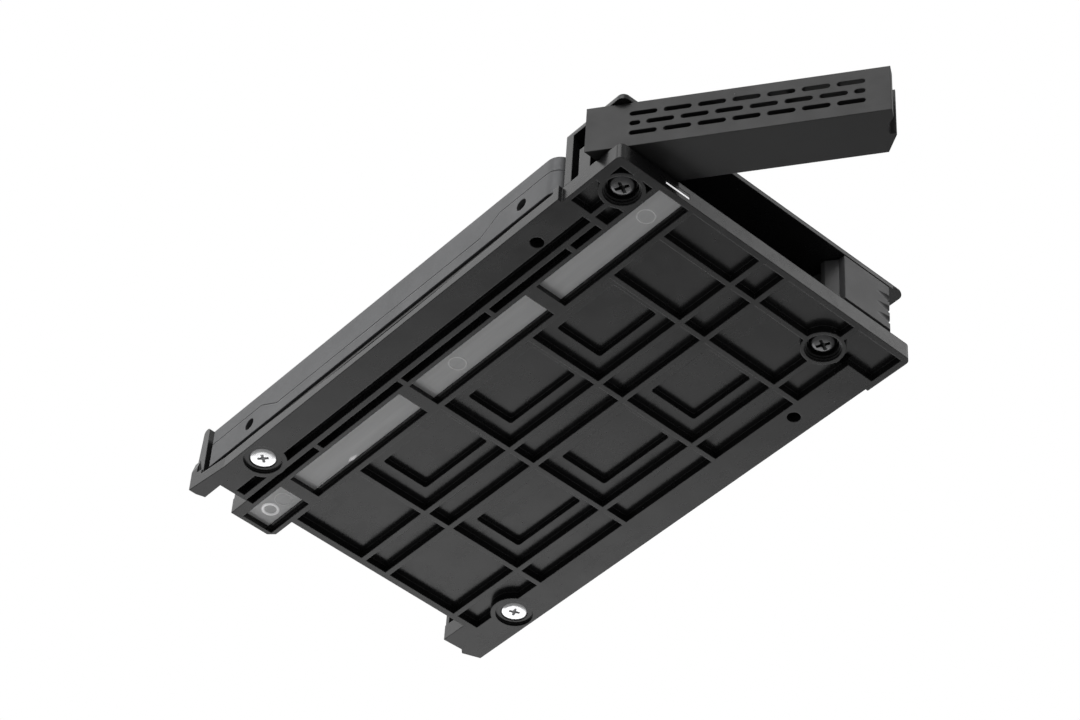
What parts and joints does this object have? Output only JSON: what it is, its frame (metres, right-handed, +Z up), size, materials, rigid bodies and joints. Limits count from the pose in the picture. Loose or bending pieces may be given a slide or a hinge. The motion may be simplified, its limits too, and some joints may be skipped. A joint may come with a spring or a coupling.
{
  "type": "hot swap drive tray",
  "caption": "Black moulded sliding tray with a ribbed underside, a swinging grille lever, a release latch, a light pipe and a fitted 2.5 inch drive.",
  "frame": {"origin": "on the underside plane, midway between the four drive screw holes", "axes": "+Z up with the ribbed underside at Z = 0, front with the lever at -Y, plug end at +Y, +X to the right seen from the front"},
  "size_m": [0.0721, 0.1535, 0.017],
  "materials": {
    "tray_black": "semi-gloss moulded black",
    "handle_black": "satin moulded black",
    "latch_black": "satin moulded black",
    "clear_pipe": "frosted clear",
    "black_screw": "black oxide",
    "silver_screw": "bright nickel plate",
    "spring_wire": "drawn wire",
    "casting": "bead blasted, dark grey",
    "cover_sheet": "satin sheet",
    "gasket_foam": "dull",
    "board": "green solder mask",
    "foam": "dull foam",
    "chip": "moulded",
    "motor": "turned",
    "plug_black": "moulded",
    "contact": "gold flash"
  },
  "bodies": {
    "tray": {"tray_base": "tray_black", "bezel_cover": "tray_black", "light_pipe": "clear_pipe", "handle_spring": "spring_wire", "latch_spring": "spring_wire", "pivot_screws": "black_screw", "pivot_washers": "black_screw", "drive_screws": "silver_screw", "drive_base": "casting", "drive_cover": "cover_sheet", "drive_gasket": "gasket_foam", "drive_cover_screws": "silver_screw", "drive_motor": "motor", "drive_pcb": "board", "drive_insulator": "foam", "drive_chips": "chip", "drive_pcb_screws": "silver_screw", "drive_connector": "plug_black", "drive_contacts": "contact"},
    "handle": {"handle": "handle_black"},
    "latch": {"latch": "latch_black"}
  },
  "joints": [
    {"name": "lever_swing", "type": "hinge", "parent": "tray", "child": "handle", "pos_m": [-0.0284, -0.0572, 0.0095], "axis": [0, 0, 1], "range_deg": [0, 54.5], "stiffness_Nm_per_rad": 0.004, "springref_deg": -51.57, "deforming": ["handle_spring"]},
    {"name": "latch_press", "type": "hinge", "parent": "tray", "child": "latch", "pos_m": [0.0223, -0.0543, 0.0095], "axis": [0, 0, 1], "range_deg": [0, 14], "stiffness_Nm_per_rad": 0.01, "springref_deg": -17.19, "deforming": ["latch_spring"]}
  ]
}
